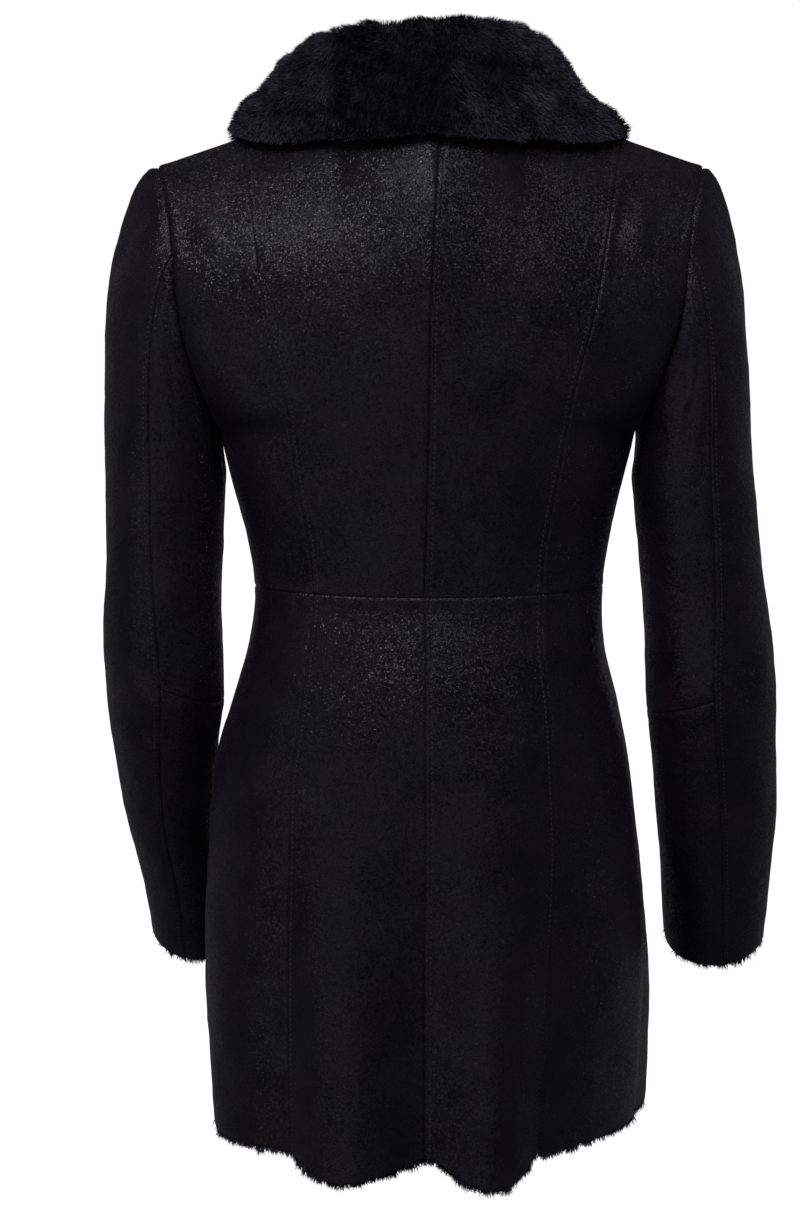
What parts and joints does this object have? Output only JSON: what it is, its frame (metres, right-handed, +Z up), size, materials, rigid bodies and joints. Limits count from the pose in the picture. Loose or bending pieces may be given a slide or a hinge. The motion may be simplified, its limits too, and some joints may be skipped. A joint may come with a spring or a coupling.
{
  "type": "shearling coat",
  "caption": "Fitted, panelled black shearling coat filled out as worn with nobody in it: wide fur collar, flared skirt, long shaped sleeves and a buttoned front.",
  "frame": {"origin": "the middle of the neck opening at the height of the nape, where the wearer's neck and shoulders hold the coat", "axes": "+Z up, the front of the coat faces -Y and its back faces +Y, the wearer's left is +X"},
  "size_m": [0.5282, 0.3037, 0.8558],
  "materials": {
    "suede": "black grained suede side of a shearling hide, dull with a fine sparkle",
    "fur": "dense short black shearling pile",
    "horn": "polished black"
  },
  "bodies": {
    "root": {"bodice_back_centre_left": "suede", "bodice_back_centre_right": "suede", "bodice_back_side_left": "suede", "bodice_back_side_right": "suede", "bodice_front_side_left": "suede", "bodice_front_side_right": "suede", "bodice_front_centre_left": "suede", "bodice_front_centre_right": "suede", "skirt_back_centre_left": "suede", "skirt_back_centre_right": "suede", "skirt_back_side_left": "suede", "skirt_back_side_right": "suede", "skirt_front_side_left": "suede", "skirt_front_side_right": "suede", "skirt_front_centre_left": "suede", "skirt_front_centre_right": "suede", "top_sleeve_left": "suede", "top_sleeve_right": "suede", "under_sleeve_upper_left": "suede", "under_sleeve_upper_right": "suede", "under_sleeve_lower_left": "suede", "under_sleeve_lower_right": "suede", "collar": "fur", "button_1": "horn", "button_2": "horn", "button_3": "horn", "button_4": "horn"}
  },
  "joints": []
}
